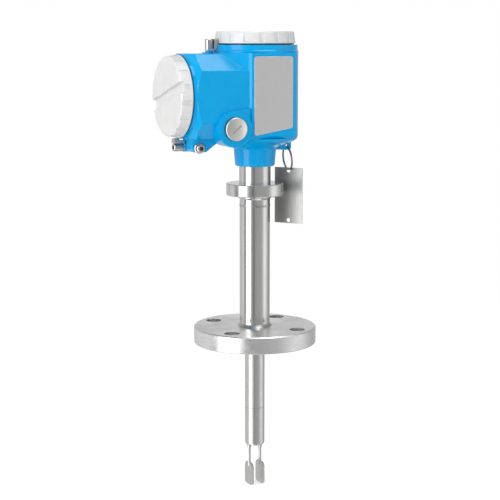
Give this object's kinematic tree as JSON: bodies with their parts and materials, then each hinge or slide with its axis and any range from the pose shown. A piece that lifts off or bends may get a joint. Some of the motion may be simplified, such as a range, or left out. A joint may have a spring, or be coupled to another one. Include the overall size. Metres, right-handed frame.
{
  "type": "tuning fork level switch",
  "caption": "Flanged tuning fork level switch with an extension tube, a two-compartment cast housing, screwed covers and a hanging tag plate.",
  "frame": {"origin": "centre of the process flange's raised sealing face, on the sensor axis", "axes": "+Z runs along the sensor axis from the flange to the housing, -X points out of the side connection compartment, and -Y is the front with the nameplate and the blind plug"},
  "size_m": [0.16, 0.127, 0.4736],
  "materials": {
    "casting_paint": "satin powder coat",
    "cover_paint": "satin powder coat",
    "stainless": "turned and polished",
    "weld": "bead",
    "nitrile": "matte",
    "plate_steel": "brushed sheet",
    "fastener_steel": "bright",
    "insert_plastic": "matte",
    "switch_plastic": "matte",
    "lamp_lens": "clear",
    "terminal_plastic": "matte",
    "terminal_brass": "bright",
    "ceramic": "fired",
    "cable": "matte",
    "seal_glass": "fired glass"
  },
  "bodies": {
    "sensor": {"process_flange": "stainless", "seat_weld": "weld", "extension_tube": "stainless", "collar_stub": "stainless", "neck_o_ring": "nitrile", "probe_tube": "stainless", "tuning_fork": "stainless", "piezo_stack": "ceramic", "stack_insulators": "ceramic", "preload_screw": "fastener_steel", "sensor_lead": "cable", "sealed_feedthrough": "seal_glass"},
    "housing": {"housing_casting": "casting_paint", "front_blind_plug": "fastener_steel", "front_plug_seal": "nitrile", "rear_blind_plug": "fastener_steel", "rear_plug_seal": "nitrile", "nameplate": "plate_steel", "ground_clamp": "fastener_steel", "ground_screw": "fastener_steel", "neck_lock_screw": "fastener_steel", "electronics_insert": "insert_plastic", "insert_screws": "fastener_steel", "status_lamps": "lamp_lens", "switch_block": "terminal_plastic", "terminal_block": "terminal_plastic", "terminal_screws": "terminal_brass", "partition_bushing": "terminal_plastic", "inner_ground_screw": "terminal_brass", "top_clamp_screw": "fastener_steel", "side_clamp_screw": "fastener_steel"},
    "top_thread": {"top_cover_seal": "nitrile"},
    "top_cover": {"top_cover": "cover_paint"},
    "side_thread": {"side_cover_seal": "nitrile"},
    "side_cover": {"side_cover": "cover_paint"},
    "top_claw": {"top_clamp_claw": "fastener_steel"},
    "side_claw": {"side_clamp_claw": "fastener_steel"},
    "switch_left": {"switch_slider_left": "switch_plastic"},
    "switch_right": {"switch_slider_right": "switch_plastic"},
    "tag_ring": {"tag_ring": "fastener_steel"},
    "tag_plate": {"tag_plate": "plate_steel"}
  },
  "joints": [
    {"name": "housing_turn", "type": "hinge", "parent": "sensor", "child": "housing", "pos_m": [0, 0, 0.196], "axis": [0, 0, 1], "range_deg": [-175, 175]},
    {"name": "top_cover_lift", "type": "slide", "parent": "housing", "child": "top_thread", "axis": [0, 0, 1], "range_m": [0, 0.0105]},
    {"name": "top_cover_turn", "type": "hinge", "parent": "top_thread", "child": "top_cover", "pos_m": [0, 0, 0.31], "axis": [0, 0, 1], "range_deg": [0, 2520]},
    {"name": "side_cover_lift", "type": "slide", "parent": "housing", "child": "side_thread", "axis": [-1, 0, 0], "range_m": [0, 0.0105]},
    {"name": "side_cover_turn", "type": "hinge", "parent": "side_thread", "child": "side_cover", "pos_m": [-0.085, 0, 0.2577], "axis": [-1, 0, 0], "range_deg": [0, 2520]},
    {"name": "top_clamp_swing", "type": "hinge", "parent": "housing", "child": "top_claw", "pos_m": [-0.0506, 0, 0.303], "axis": [0, 0, 1], "range_deg": [0, 100]},
    {"name": "side_clamp_swing", "type": "hinge", "parent": "housing", "child": "side_claw", "pos_m": [-0.0788, 0, 0.2071], "axis": [-1, 0, 0], "range_deg": [0, 100]},
    {"name": "switch_left_slide", "type": "slide", "parent": "housing", "child": "switch_left", "axis": [0, 1, 0], "range_m": [0, 0.0024]},
    {"name": "switch_right_slide", "type": "slide", "parent": "housing", "child": "switch_right", "axis": [0, 1, 0], "range_m": [0, 0.0024]},
    {"name": "tag_ring_swing", "type": "hinge", "parent": "housing", "child": "tag_ring", "pos_m": [0.0358, 0, 0.2049], "axis": [0, 1, 0], "range_deg": [-60, 0]},
    {"name": "tag_plate_swing", "type": "hinge", "parent": "tag_ring", "child": "tag_plate", "pos_m": [0.03857, -0.00029, 0.17906], "axis": [0.7986, 0.6018, 0], "range_deg": [-40, 40]}
  ],
  "couplings": [
    {"joint": "top_cover_lift", "follows": "top_cover_turn", "m_per_rad": 0.00023873},
    {"joint": "side_cover_lift", "follows": "side_cover_turn", "m_per_rad": 0.00023873}
  ]
}
